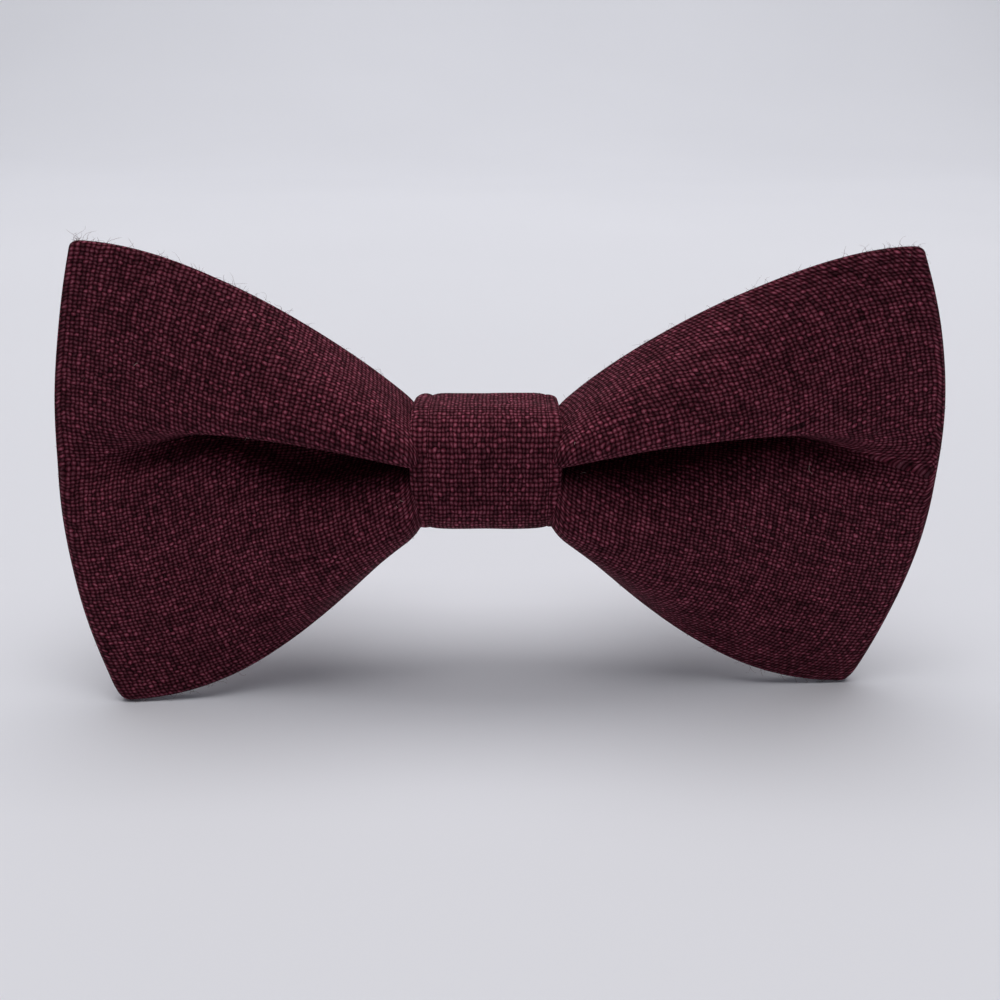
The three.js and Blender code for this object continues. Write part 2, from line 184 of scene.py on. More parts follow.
# ---------------------------------------------------------------- node helpers
class Nodes:
    """Adds nodes to a material, with each input a number or another node's output."""

    def __init__(self, name):
        self.material = bpy.data.materials.new(name)
        self.material.use_nodes = True
        self.tree = self.material.node_tree
        self.shader = self.tree.nodes["Principled BSDF"]

    def add(self, kind, inputs=(), **settings):
        node = self.tree.nodes.new(kind)
        for key, value in settings.items():
            setattr(node, key, value)
        for key, value in dict(inputs).items():
            self.put(node.inputs[key], value)
        return node

    def put(self, socket, value):
        if isinstance(value, bpy.types.NodeSocket):
            self.tree.links.new(value, socket)
        else:
            socket.default_value = value

    def math(self, operation, a, b=0.0, c=0.0):
        return self.add("ShaderNodeMath", {0: a, 1: b, 2: c}, operation=operation).outputs[0]

    def noise(self, vector, scale, detail, roughness=0.5):
        inputs = {"Vector": vector, "Scale": scale, "Detail": detail, "Roughness": roughness}
        return self.add("ShaderNodeTexNoise", inputs).outputs["Fac"]

    def scaled(self, vector, x, y, z):
        return self.add("ShaderNodeMapping", {"Vector": vector, "Scale": (x, y, z)}).outputs[0]

    def combined(self, x, y, z=0.0):
        return self.add("ShaderNodeCombineXYZ", {0: x, 1: y, 2: z}).outputs[0]

    def strayed(self, vector, place, scale, detail, reach):
        """The vector moved a little to and fro, by noise that is read at `place`."""
        texture = self.add("ShaderNodeTexNoise", {"Vector": place, "Scale": scale, "Detail": detail})
        halves = {0: texture.outputs["Color"], 1: (0.5, 0.5, 0.5)}
        centred = self.add("ShaderNodeVectorMath", halves, operation="SUBTRACT").outputs[0]
        shift = self.add("ShaderNodeVectorMath", {0: centred, "Scale": reach}, operation="SCALE").outputs[0]
        return self.add("ShaderNodeVectorMath", {0: vector, 1: shift}, operation="ADD").outputs[0]

    def ramp(self, factor, stops):
        node = self.add("ShaderNodeValToRGB", {"Fac": factor})
        elements = node.color_ramp.elements
        while len(elements) < len(stops):
            elements.new(0.5)
        for element, (position, colour) in zip(elements, stops):
            element.position = position
            element.color = (*colour, 1.0)
        return node.outputs["Color"]

    def tinted(self, colour, tint):
        """One colour multiplied by another."""
        inputs = {0: 1.0, 6: colour, 7: tint}
        return self.add("ShaderNodeMix", inputs, data_type="RGBA", blend_type="MULTIPLY").outputs[2]


def linen(name, shade, gap_shade_colour, thread_colour, tip_highlight_colour, sheen_tint):
    """Plain weave: each crossing shows the warp or the weft as a small crown, and threads vary; painted
    shade darkens the gaps between threads and a painted highlight lightens the crowns' tops.
    """
    n = Nodes(name)
    cloth = n.add("ShaderNodeUVMap", uv_map="cloth").outputs[0]
    moved = n.strayed(cloth, cloth, 520.0, 3.0, 0.0006)
    moved = n.strayed(moved, cloth, 1700.0, 1.0, 0.00036)
    place = n.add("ShaderNodeSeparateXYZ", {0: moved})
    across = n.math("MULTIPLY", place.outputs[0], 1 / (WARP_PITCH * MM))
    along = n.math("MULTIPLY", place.outputs[1], 1 / (WEFT_PITCH * MM))
    warp = n.math("FLOOR", across)
    weft = n.math("FLOOR", along)
    parity = n.math("FLOORED_MODULO", n.math("ADD", warp, weft), 2.0)
    arch_x = n.math("SINE", n.math("MULTIPLY", n.math("FRACT", across), math.pi))
    arch_y = n.math("SINE", n.math("MULTIPLY", n.math("FRACT", along), math.pi))
    flip = n.math("SUBTRACT", 1.0, parity)
    side = n.math("MULTIPLY_ADD", parity, 2.0, -1.0)
    # Each thread is round across itself, and rises over one crossing and dips under the next.
    warp_rise = n.math("MULTIPLY", n.math("MULTIPLY", arch_y, side), THREAD_WAVE)
    weft_rise = n.math("MULTIPLY", n.math("MULTIPLY", arch_x, side), -THREAD_WAVE)
    warp_round = n.math("POWER", arch_x, THREAD_FULLNESS)
    weft_round = n.math("POWER", arch_y, THREAD_FULLNESS)
    warp_top = n.math("MULTIPLY_ADD", warp_round, THREAD_HEIGHT, warp_rise)
    weft_top = n.math("MULTIPLY_ADD", weft_round, THREAD_HEIGHT, weft_rise)
    crown = n.math("MAXIMUM", warp_top, weft_top)

    # Slubs: noise drawn out along each thread, one value for each thread's number.
    warp_line = n.combined(warp, n.math("MULTIPLY", along, SLUB_STRETCH), 3.0)
    weft_line = n.combined(n.math("MULTIPLY", across, SLUB_STRETCH), weft, 9.0)
    warp_slub = n.math("MULTIPLY", n.noise(warp_line, SLUB_SCALE, 1.0), parity)
    weft_slub = n.math("MULTIPLY", n.noise(weft_line, SLUB_SCALE, 1.0), flip)
    slub = n.math("ADD", warp_slub, weft_slub)
    speck = n.add("ShaderNodeTexWhiteNoise", {"Vector": n.combined(warp, weft)}).outputs["Value"]
    fibre = n.noise(cloth, 9000.0, 3.0, 0.7)
    broad = n.noise(cloth, 55.0, 2.0)

    # The colour follows each crown's height: painted shade in the gaps between threads, the thread's own
    # colour on its sides, and a painted highlight on the crown's top.
    tone = n.ramp(crown, [(0.1, gap_shade_colour), (0.5, lerp3(gap_shade_colour, thread_colour, 0.34)),
                          (0.8, thread_colour), (1.0, tip_highlight_colour)])
    varied = n.math("MULTIPLY_ADD", slub, 2.0, -0.05)
    causes = [(speck, 0.8, 0.58), (parity, -0.3, 1.15), (fibre, 0.7, 0.65), (broad, 0.3, 0.85)]
    for cause, amount, base in causes:
        varied = n.math("MULTIPLY", varied, n.math("MULTIPLY_ADD", cause, amount, base))
    varied = n.math("MULTIPLY", varied, shade)
    n.put(n.shader.inputs["Base Color"], n.tinted(tone, n.combined(varied, varied, varied)))

    height = n.math("MULTIPLY", crown, n.math("MULTIPLY_ADD", slub, 0.7, 0.65))
    height = n.math("MULTIPLY_ADD", fibre, 0.16, height)
    bump = n.add("ShaderNodeBump", {"Strength": 0.9, "Distance": 0.0002, "Height": height})
    n.put(n.shader.inputs["Normal"], bump.outputs[0])
    n.put(n.shader.inputs["Roughness"], n.math("MULTIPLY_ADD", crown, -0.14, 0.86))
    n.shader.inputs["Specular IOR Level"].default_value = 0.04
    n.shader.inputs["Sheen Weight"].default_value = 0.04
    n.shader.inputs["Sheen Roughness"].default_value = 0.45
    n.shader.inputs["Sheen Tint"].default_value = (*sheen_tint, 1.0)
    return n.material


def burgundy_linen():
    return linen("burgundy_linen", 0.8, gap_shade_colour=(0.006, 0.0002, 0.0010),
                 thread_colour=(0.148, 0.024, 0.043), tip_highlight_colour=(0.27, 0.086, 0.122),
                 sheen_tint=(0.6, 0.25, 0.33))


def undyed_interlining():
    return linen("undyed_interlining", 1.0, gap_shade_colour=(0.24, 0.21, 0.17), thread_colour=(0.62, 0.57, 0.49),
                 tip_highlight_colour=(0.74, 0.70, 0.62), sheen_tint=(1.0, 0.96, 0.9))


def spun_thread(name, colour):
    """Sewing thread: fine twist lines on its surface, with painted shade darkening their grooves, and a
    slight change of tone along it.
    """
    n = Nodes(name)
    place = n.add("ShaderNodeTexCoord").outputs["Object"]
    twist = n.add("ShaderNodeTexWave", {"Vector": place, "Scale": 900.0, "Distortion": 2.5, "Detail": 2.0},
                  bands_direction="DIAGONAL").outputs["Fac"]
    # Painted shade: the thread's colour darkens in the grooves of the twist.
    tone = n.ramp(twist, [(0.0, lerp3(colour, (0, 0, 0), 0.55)), (1.0, colour)])
    uneven = n.ramp(n.noise(place, 700.0, 3.0), [(0.25, (0.7, 0.7, 0.7)), (0.8, (1.25, 1.25, 1.25))])
    n.put(n.shader.inputs["Base Color"], n.tinted(tone, uneven))
    bump = n.add("ShaderNodeBump", {"Strength": 0.7, "Distance": 0.00006, "Height": twist})
    n.put(n.shader.inputs["Normal"], bump.outputs[0])
    n.shader.inputs["Roughness"].default_value = 0.62
    n.shader.inputs["Sheen Weight"].default_value = 0.2
    return n.material


def satin_nickel():
    """Nickel plate: fine brushing, small scuffs and a duller tone in patches."""
    n = Nodes("satin_nickel")
    place = n.add("ShaderNodeTexCoord").outputs["Object"]
    brushed = n.noise(n.scaled(place, 220.0, 2600.0, 2600.0), 1.0, 3.0, 0.6)
    patches = n.noise(place, 260.0, 3.0)
    scuffs = n.noise(n.scaled(place, 900.0, 900.0, 300.0), 1.0, 5.0, 0.75)
    n.put(n.shader.inputs["Base Color"],
          n.ramp(patches, [(0.3, (0.50, 0.49, 0.47)), (0.75, (0.66, 0.65, 0.63))]))
    rough = n.math("MULTIPLY_ADD", brushed, 0.16, n.math("MULTIPLY_ADD", scuffs, 0.2, 0.12))
    n.put(n.shader.inputs["Roughness"], rough)
    bump = n.add("ShaderNodeBump", {"Strength": 0.25, "Distance": 0.00002, "Height": brushed})
    n.put(n.shader.inputs["Normal"], bump.outputs[0])
    n.shader.inputs["Metallic"].default_value = 1.0
    return n.material


def loose_fibre(name, colour):
    n = Nodes(name)
    place = n.add("ShaderNodeTexCoord").outputs["Object"]
    tone = n.ramp(n.noise(place, 1500.0, 1.0), [(0.3, lerp3(colour, (0, 0, 0), 0.4)), (0.7, colour)])
    n.put(n.shader.inputs["Base Color"], tone)
    n.shader.inputs["Roughness"].default_value = 0.7
    n.shader.inputs["Sheen Weight"].default_value = 0.3
    return n.material


def pale_floor():
    n = Nodes("pale_floor")
    place = n.add("ShaderNodeTexCoord").outputs["Object"]
    tone = n.ramp(n.noise(place, 2.5, 2.0), [(0.2, (0.75, 0.76, 0.81)), (0.8, (0.79, 0.80, 0.85))])
    n.put(n.shader.inputs["Base Color"], tone)
    n.shader.inputs["Roughness"].default_value = 0.75
    n.shader.inputs["Specular IOR Level"].default_value = 0.2
    return n.material


# ---------------------------------------------------------------- surfaces as grids of points
def in_frame(point):
    return KNOT + Vector(point) * MM


def steps_between(points):
    """How far along a row of points each of them is."""
    lengths = np.linalg.norm(np.diff(points, axis=0), axis=-1)
    start = np.zeros((1, *lengths.shape[1:]))
    return np.concatenate([start, np.cumsum(lengths, axis=0)])


def even(points, count):
    """The same line with `count` points evenly along it."""
    points = np.asarray(points, float)
    along = steps_between(points)
    wanted = np.linspace(0, along[-1], count)
    return np.stack([np.interp(wanted, along, axis) for axis in points.T], axis=1)


def smooth_line(points, counts):
    """A Catmull-Rom curve through the points, with a set number of steps from each to the next."""
    points = np.asarray(points, float)
    padded = np.vstack([2 * points[0] - points[1], points, 2 * points[-1] - points[-2]])
    line = []
    for a, b, c, d, count in zip(padded, padded[1:], padded[2:], padded[3:], counts):
        for i in range(count):
            t = i / count
            line.append(0.5 * (2 * b + (c - a) * t + (2 * a - 5 * b + 4 * c - d) * t**2
                               + (3 * b - a - 3 * c + d) * t**3))
    return np.array([*line, points[-1]])


def normals_of(grid):
    """The unit normal at each point of a grid of points."""
    normal = np.cross(np.gradient(grid, axis=0), np.gradient(grid, axis=1))
    return normal / np.maximum(np.linalg.norm(normal, axis=-1, keepdims=True), 1e-9)


def cloth_places(grid, start, pleated=None):
    """Where each point is on the flat cloth, in mm: along each row from one station, and across.

    At the pleated stations each side of the cleft is measured from its own margin, and the cleft takes
    up the difference.
    """
    along = steps_between(grid)
    along = along - along[start]
    arcs = steps_between(np.swapaxes(grid, 0, 1)).T
    width = arcs[start, -1]
    plain = np.broadcast_to(arcs[start] - width / 2, along.shape)
    if pleated is None:
        return along, plain
    lower = arcs - width / 2
    upper = width / 2 - (arcs[:, -1:] - arcs)
    row = np.arange(grid.shape[1])
    halves = np.where(row < CLEFT_ROW, lower, np.where(row > CLEFT_ROW, upper, (lower + upper) / 2))
    return along, np.where(pleated[:, None], halves, plain)


def new_piece(name, bm, material):
    mesh = bpy.data.meshes.new(name)
    bm.to_mesh(mesh)
    bm.free()
    mesh.polygons.foreach_set("use_smooth", [True] * len(mesh.polygons))
    piece = bpy.data.objects.new(name, mesh)
    bpy.context.scene.collection.objects.link(piece)
    mesh.materials.append(material)
    return piece


def grid_mesh(points, places):
    """A bmesh grid with a vertex at each point, and its place on the flat cloth as its UV."""
    stations, rows = points.shape[:2]
    bm = bmesh.new()
    bmesh.ops.create_grid(bm, x_segments=stations - 1, y_segments=rows - 1, size=0.5)
    cloth = bm.loops.layers.uv.new("cloth")
    spots = {}
    for vert in bm.verts:
        k = round((vert.co.x + 0.5) * (stations - 1))
        j = round((vert.co.y + 0.5) * (rows - 1))
        spots[vert] = (k, j)
    for face in bm.faces:
        for loop in face.loops:
            loop[cloth].uv = places[spots[loop.vert]] * MM
    for vert, spot in spots.items():
        vert.co = in_frame(points[spot])
    return bm


def solid(piece, thickness, levels):
    """Gives a sheet its thickness, half to each side, and rounds it."""
    wall = piece.modifiers.new("wall", "SOLIDIFY")
    wall.thickness = thickness * MM
    wall.offset = 0
    wall.use_even_offset = False
    smooth = piece.modifiers.new("smooth", "SUBSURF")
    smooth.levels = levels
    smooth.render_levels = levels
    return piece


def lined_sleeve(name, grid, start, thickness, material, pleated=None):
    """Cloth sewn into a flat tube: an outer ply, a turned edge, an inner ply and the other edge."""
    reach = (thickness - PLY) / 2
    normal = normals_of(grid)
    along, across = cloth_places(grid, start, pleated)
    outer = grid + normal * reach
    inner = (grid - normal * reach)[:, ::-1]
    edges = []
    for edge, inside in ((-1, -2), (0, 1)):
        out = grid[:, edge] - grid[:, inside]
        out = out / np.linalg.norm(out, axis=-1, keepdims=True)
        edges.append((grid[:, edge] + out * reach)[:, None])
    points = np.concatenate([outer, edges[0], inner, edges[1], outer[:, :1]], axis=1)
    turn = np.full((len(grid), 1), reach * 1.5)
    width = across[:, -1:]
    places = np.stack([
        np.concatenate([along, along[:, -1:], along[:, ::-1], along[:, :1], along[:, :1]], axis=1),
        np.concatenate([across, width + turn, 2 * width + 2 * turn - across[:, ::-1],
                        3 * width + 3 * turn, 3 * width + 4 * turn], axis=1),
    ], axis=-1)
    bm = grid_mesh(points, places)
    bmesh.ops.remove_doubles(bm, verts=bm.verts, dist=1e-7)
    bmesh.ops.recalc_face_normals(bm, faces=bm.faces)
    return solid(new_piece(name, bm, material), PLY, 1)


def inner_sheet(name, grid, material, end_gap=1, margin=1):
    """The interlining between the plies, a little narrower and shorter than they are."""
    inside = grid[end_gap:len(grid) - end_gap, margin:-margin]
    along, across = cloth_places(inside, 0)
    bm = grid_mesh(inside, np.stack([along, across], axis=-1))
    return solid(new_piece(name, bm, material), LINING, 0)


# ---------------------------------------------------------------- the bow's shape
def settle(u, power):
    """1 at the knot with no slope, falling to 0 at the outer fold."""
    return (1 - u) ** power * (1 + power * u)


# The front panel's pleat at four distances from the knot: heights above the wing's middle and depths.
# Lower lobe's crest, its upper shoulder, its lip, the cleft's lower wall, the cleft, its upper wall,
# the upper lobe's lip, and the upper lobe's crest.
PLEAT_STATIONS = [0.0, 0.28, 0.6, 1.0]
PLEAT = [
    [(-4.6, -6.2), (-1.0, -6.3), (1.5, -5.0), (2.1, -1.2),
     (2.8, 3.4), (3.4, -2.4), (3.9, -6.2), (5.6, -7.0)],
    [(-8.4, -6.4), (-3.2, -6.0), (0.7, -3.8), (1.9, 0.2),
     (4.2, 3.5), (6.4, -1.8), (7.2, -7.4), (9.4, -8.6)],
    [(-9.5, -4.2), (-1.5, -4.0), (3.4, -2.9), (4.8, -0.2),
     (6.2, 1.9), (7.6, -1.8), (8.4, -5.3), (10.8, -6.1)],
    [(-16.0, -3.0), (-8.0, -3.0), (-4.0, -3.0), (-1.0, -3.0),
     (2.0, -3.0), (5.0, -3.0), (8.0, -3.0), (12.0, -3.0)],
]
SEGMENT_ROWS = [1, 2, 3, 5, 4, 3, 3, 4, 4, 3, 4, 5, 3, 2, 1]
CLEFT_ROW = sum(SEGMENT_ROWS[:8])
TOWARDS_MARGIN = [(0.6, 0.22), (0.9, 0.72), (0.975, 0.93)]
LIP_DROP = {-1: 1.0, 1: -0.5}
LIP_DROP_AT = 0.34
LIP_DROP_SPREAD = 0.16


def between_stations(stations, values, u):
    """A smooth value between the stations' own."""
    for i in range(len(stations) - 1):
        if u <= stations[i + 1]:
            break
    before = max(i - 1, 0)
    after = min(i + 2, len(values) - 1)
    width = stations[i + 1] - stations[i]
    t = (u - stations[i]) / width
    slope_in = (values[i + 1] - values[before]) / max(stations[i + 1] - stations[before], 1e-9) * width
    slope_out = (values[after] - values[i]) / max(stations[after] - stations[i], 1e-9) * width
    share = t * t * (3 - 2 * t)
    level = (1 - share) * values[i] + share * values[i + 1]
    return level + (t**3 - 2 * t**2 + t) * slope_in + (t**3 - t**2) * slope_out


def pleat_section(u, side):
    """The front panel's line from its lower to its upper margin, as heights and depths."""
    margin = -SWEEP + MARGIN_CURL * settle(u, 3.5)
    top = lerp(TOP_AT_KNOT[side], HALF_HEIGHT, 1 - (1 - u) ** TOP_FLARE)
    bottom = -lerp(BOTTOM_AT_KNOT, HALF_HEIGHT, 1 - (1 - u) ** BOTTOM_FLARE)
    features = [np.array(line) for line in zip(*PLEAT)]
    pleat = np.array([between_stations(PLEAT_STATIONS, line, u) for line in features])
    pleat[:4, 0] -= LIP_DROP[side] * math.exp(-(((u - LIP_DROP_AT) / LIP_DROP_SPREAD) ** 2))

    def beyond(crest, edge, share, curl):
        return (lerp(crest[0], edge, share), lerp(crest[1], margin, curl))

    below = [beyond(pleat[0], bottom, share, curl) for share, curl in TOWARDS_MARGIN[::-1]]
    above = [beyond(pleat[-1], top, share, curl) for share, curl in TOWARDS_MARGIN]
    return [(bottom, margin), *below, *pleat, *above, (top, margin)]


def wing_front(side):
    """The front panel's grid of points, from the middle of the knot to the outer fold."""
    outside = [(i / 26) ** 1.3 for i in range(26)] + [0.985, 1.0]
    rows = [station(side, 0.0, x) for x in INNER_STATIONS]
    rows += [station(side, u, None) for u in outside]
    return np.array(rows)


def station(side, u, inner_x):
    """The points across the front panel at one distance from the knot."""
    section = smooth_line(pleat_section(u, side), SEGMENT_ROWS)
    flat = smooth_line(pleat_section(1.0, side), SEGMENT_ROWS)
    points = []
    for (height, depth), (flat_height, _) in zip(section, flat):
        v = flat_height / HALF_HEIGHT
        outer = HALF_WIDTH - PANEL_GAP / 2 - CLOTH / 2 - CORNER_PULL[side] * v * v
        outer -= LOWER_CORNER_NIP * max(0.0, (-v - 0.95) / 0.05) ** 2
        x = lerp(KNOT_EDGE, outer, u) if inner_x is None else inner_x
        grip = lerp(SQUEEZE, 1.0, ease((x - SQUEEZE_START) / SQUEEZE_LENGTH))
        y = depth - side * TWIST * u * height
        ripple = noise.noise(Vector((side * x * RIPPLE_RATE, height * RIPPLE_RATE, 4.0)))
        y += RIPPLE * ripple * ease(u * 3)
        points.append((side * x + KNOT_SHIFT * settle(u, 2.5), y * grip, (height - DROP) * grip))
    return points


def wing_back(side, front):
    """The back panel's grid of points: almost flat across, with small gathers beside the knot."""
    flat = np.clip((front[-1, :, 2] + DROP) / HALF_HEIGHT, -1, 1)
    cleft = front[:, CLEFT_ROW]
    back = front.copy()
    for k in range(len(front)):
        u = (abs(cleft[k, 0]) - KNOT_EDGE) / (HALF_WIDTH - KNOT_EDGE - FOLD_INSET)
        u = min(max(u, 0.0), 1.0)
        low, high = front[k, 0], front[k, -1]
        for j, share in enumerate(flat):
            middle = 1 - share * share
            margin = lerp(low, high, (share + 1) / 2)
            behind = margin[1] + PANEL_GAP
            deepest = max(cleft[k, 1] + CLEFT_CLEARANCE, behind) + BACK_PUFF * math.sin(math.pi * u)
            gathers = GATHER_DEPTH * settle(u, 2.6) * (math.cos(5 * math.pi * share) - 1) * middle
            back[k, j, 1] = lerp(behind, deepest, middle**1.5) + gathers
            back[k, j, 2] = margin[2] - math.copysign(abs(share) ** 9 * BACK_INSET, share)
    return back


def wing_loop(side):
    """The loop's points for one wing, from the centre back round the outer fold to the centre front."""
    front = wing_front(side)
    back = wing_back(side, front)
    stations = len(front)
    turns = []
    centre = (front[-1] + back[-1]) / 2
    radius = (back[-1] - front[-1]) / 2
    reach = np.linalg.norm(radius, axis=-1, keepdims=True) * np.array([side, 0.0, 0.0])
    for angle in np.linspace(0, math.pi, FOLD_TURNS + 2)[1:-1]:
        turns.append(centre + radius * math.cos(angle) + reach * math.sin(angle))
    thinned = [0, 1, 2, 3, 4, *range(5, stations - 2, 2), stations - 2, stations - 1]
    return np.concatenate([back[thinned], turns, front[::-1]]), len(thinned) + FOLD_TURNS // 2


def bow_loop():
    """The whole loop's points, the left fold's station, and which stations are on the front."""
    left, fold = wing_loop(-1)
    right, _ = wing_loop(1)
    is_front = np.arange(len(left)) > fold + FOLD_TURNS // 2
    is_front = np.concatenate([is_front, is_front[::-1][1:]])
    return np.concatenate([left, right[::-1][1:]]), fold, is_front


# ---------------------------------------------------------------- the knot's wrap
def signed_power(value, exponent):
    return math.copysign(abs(value) ** exponent, value)


def wrap_outline(inset):
    """The wrap's line in depth and height, from the centre back over the top and round."""
    half_depth = (WRAP_BACK - WRAP_FRONT) / 2 - inset
    middle = (WRAP_FRONT + WRAP_BACK) / 2
    line = []
    for i in range(721):
        around = 2 * math.pi * i / 720
        exponent = 2 / (WRAP_FRONT_ROUNDNESS if math.cos(around) < 0 else WRAP_BACK_ROUNDNESS)
        depth = middle + signed_power(math.cos(around), exponent) * half_depth
        height = signed_power(math.sin(around), exponent) * (WRAP_HALF_HEIGHT - inset) - WRAP_DROP
        line.append((depth, height))
    line = even(line, 1200)
    along = steps_between(line)
    kept = (along > WRAP_GAP / 2) & (along < along[-1] - WRAP_GAP / 2)
    return even(line[kept], WRAP_STATIONS)


def wrap_grid():
    """The wrap's grid of points, with the soft lumps and folds of cloth that is pulled tight."""
    outline = wrap_outline(CLOTH / 2)
    outward = np.gradient(outline, axis=0)
    outward = np.stack([-outward[:, 1], outward[:, 0]], axis=1)
    outward = -outward / np.linalg.norm(outward, axis=1, keepdims=True)
    points = np.zeros((len(outline), len(WRAP_ROWS), 3))
    for k, ((depth, height), (out_y, out_z)) in enumerate(zip(outline, outward)):
        for j, share in enumerate(WRAP_ROWS):
            wave = noise.noise(Vector((share * 1.7, k * 0.19, 1.0)))
            edge = noise.noise(Vector((math.copysign(5, share), k * 0.16, 2.0)))
            past = max(0.0, (abs(share) - WRAP_ROLL_START) / (1 - WRAP_ROLL_START))
            roll = -WRAP_EDGE_ROLL * past**2 + WRAP_BULGE * (1 - share * share)
            lump = noise.noise(Vector((share * 7.0, k * 0.35, 3.0)))
            x = share * (WRAP_HALF_WIDTH - 0.1 + WRAP_WAVE * edge * abs(share))
            lift = roll + WRAP_WAVE * wave + WRAP_LUMPS * lump
            for fold, width in WRAP_FOLDS:
                lift -= WRAP_FOLD_DEPTH * math.exp(-(((share - fold) / width) ** 2))
            points[k, j] = (x + KNOT_SHIFT, depth + out_y * lift, height + out_z * lift)
    return points


# ---------------------------------------------------------------- the neck band
def half_turn(x, bulge, start, end):
    """A half circle from one depth to the next, which bulges away from the knot or towards it."""
    radius = (end - start) / 2
    angles = np.linspace(-math.pi / 2, math.pi / 2, TURN_STEPS + 1)
    return [(x + bulge * radius * math.cos(a), start + radius * (1 + math.sin(a))) for a in angles]


def band_line(return_end):
    """The band's line in X and depth, from the middle of the knot to the end of its return."""
    last = PASS_DEPTHS[-1]
    eye = [(BAR_X + END_LOOP_RADIUS * math.cos(a), BAR_DEPTH + END_LOOP_RADIUS * math.sin(a))
           for a in np.linspace(-END_LOOP_REACH, END_LOOP_REACH, 13)]
    line = [(0.15, PASS_DEPTHS[0]), (10.0, PASS_DEPTHS[0])]
    for i, depth in enumerate(PASS_DEPTHS[:-1]):
        outer = i % 2 == 0
        line += half_turn(OUTER_TURN if outer else INNER_TURN, 1 if outer else -1, depth, PASS_DEPTHS[i + 1])
    line += [(BAR_X - NECKING, last), *eye, (BAR_X - NECKING, RETURN_DEPTH), (return_end, RETURN_DEPTH)]
    return even(line, 900)


def band_grid(side, return_end):
    """The band's grid of points, with more of them at its turns and beside the knot."""
    line = band_line(return_end)
    direction = np.gradient(line, axis=0)
    heading = np.unwrap(np.arctan2(direction[:, 1], direction[:, 0]))
    near_hinge = np.exp(-(((line[:, 0] - HINGE_X) / 3) ** 2))
    effort = np.abs(np.gradient(heading)) * 9 + 0.035 + 0.12 * near_hinge
    work = np.concatenate([[0], np.cumsum(effort[1:])])
    picks = np.interp(np.linspace(0, work[-1], BAND_STATIONS), work, np.arange(len(line)))
    line = np.stack([np.interp(picks, np.arange(len(line)), axis) for axis in line.T], axis=1)
    points = np.zeros((len(line), len(BAND_ROWS), 3))
    for k, (x, y) in enumerate(line):
        for j, z in enumerate(BAND_ROWS):
            ripple = BAND_RIPPLE * noise.noise(Vector((k * 0.12, z * 0.3, side * 7.0)))
            points[k, j] = (side * x, y + ripple, z)
    return points


# ---------------------------------------------------------------- threads, fibres and hardware
def tube_piece(name, lines, radius, material, sides, taper=None):
    """Round threads along lines of points, as one mesh."""
    curve = bpy.data.curves.new(name, "CURVE")
    curve.dimensions = "3D"
    curve.bevel_depth = radius * MM
    curve.bevel_resolution = sides
    curve.use_fill_caps = True
    for line in lines:
        spline = curve.splines.new("POLY")
        spline.points.add(len(line) - 1)
        for i, (spot, point) in enumerate(zip(spline.points, line)):
            spot.co = (*in_frame(point), 1.0)
            spot.radius = 1.0 if taper is None else taper(i / (len(line) - 1))
    source = bpy.data.objects.new(name + "_line", curve)
    mesh = bpy.data.meshes.new_from_object(source)
    bpy.data.objects.remove(source)
    bm = bmesh.new()
    bm.from_mesh(mesh)
    bpy.data.meshes.remove(mesh)
    return new_piece(name, bm, material)


def zigzag(x0, x1, depth, pitch, spread):
    """A row of slanting stitches that cross a line along X, with its points as the thread's bends."""
    count = round((x1 - x0) / pitch)
    bends = [(x0 + i * pitch, depth, spread if i % 2 else -spread) for i in range(count + 1)]
    return smooth_line(bends, [8] * count)


def rounded_hardware(name, node, body, material, radius):
    """A pressed metal part: the frame's own shape with its edges rounded."""
    bm = bmesh.new()
    bm.from_mesh(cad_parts[node].data)
    bmesh.ops.remove_doubles(bm, verts=bm.verts, dist=1e-6)
    bmesh.ops.dissolve_limit(bm, angle_limit=math.radians(2), verts=bm.verts, edges=bm.edges)
    sharp = [edge for edge in bm.edges if edge.calc_face_angle(0) > math.radians(35)]
    bmesh.ops.bevel(bm, geom=sharp, offset=radius * MM, segments=3, profile=0.5, material=-1, affect="EDGES",
                    clamp_overlap=True)
    piece = new_piece(name, bm, material)
    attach(piece, body)
    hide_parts(node)


def hair(random, root, outward, along, length):
    """A short loose fibre that leaves the cloth and curls over."""
    curl = random.uniform(-1.1, 1.1)
    lean = random.uniform(-0.9, 0.9)
    points = []
    floor = -KNOT.z / MM + 0.05
    for i in range(6):
        t = i / 5
        lift = length * (t - 0.35 * t * t)
        sway = length * (lean * t + curl * t * t * 0.6)
        wobble = length * 0.22 * math.sin(5 * t + 7 * lean)
        point = root + outward * lift + along * sway + np.cross(outward, along) * wobble
        point[2] = max(point[2], floor)
        points.append(point)
    return points


def edge_fuzz(grid, random, count, shortest, longest, clear=0.0):
    """Fibres that stand out of a cloth's margins and outer folds."""
    lines = []
    stations = len(grid)
    for _ in range(count):
        k = random.randrange(6, stations - 6)
        edge, inside = random.choice([(-1, -3), (0, 2)])
        if abs(grid[k, edge, 0] - KNOT_SHIFT) < clear:
            continue
        t = random.random()
        root = lerp(grid[k, edge], grid[k + 1, edge], t)
        outward = grid[k, edge] - grid[k, inside]
        outward = outward / np.linalg.norm(outward)
        along = grid[k + 1, edge] - grid[k, edge]
        along = along / max(np.linalg.norm(along), 1e-6)
        length = lerp(shortest, longest, random.random() ** 3)
        lines.append(hair(random, root + outward * 0.3, outward, along, length))
    return lines


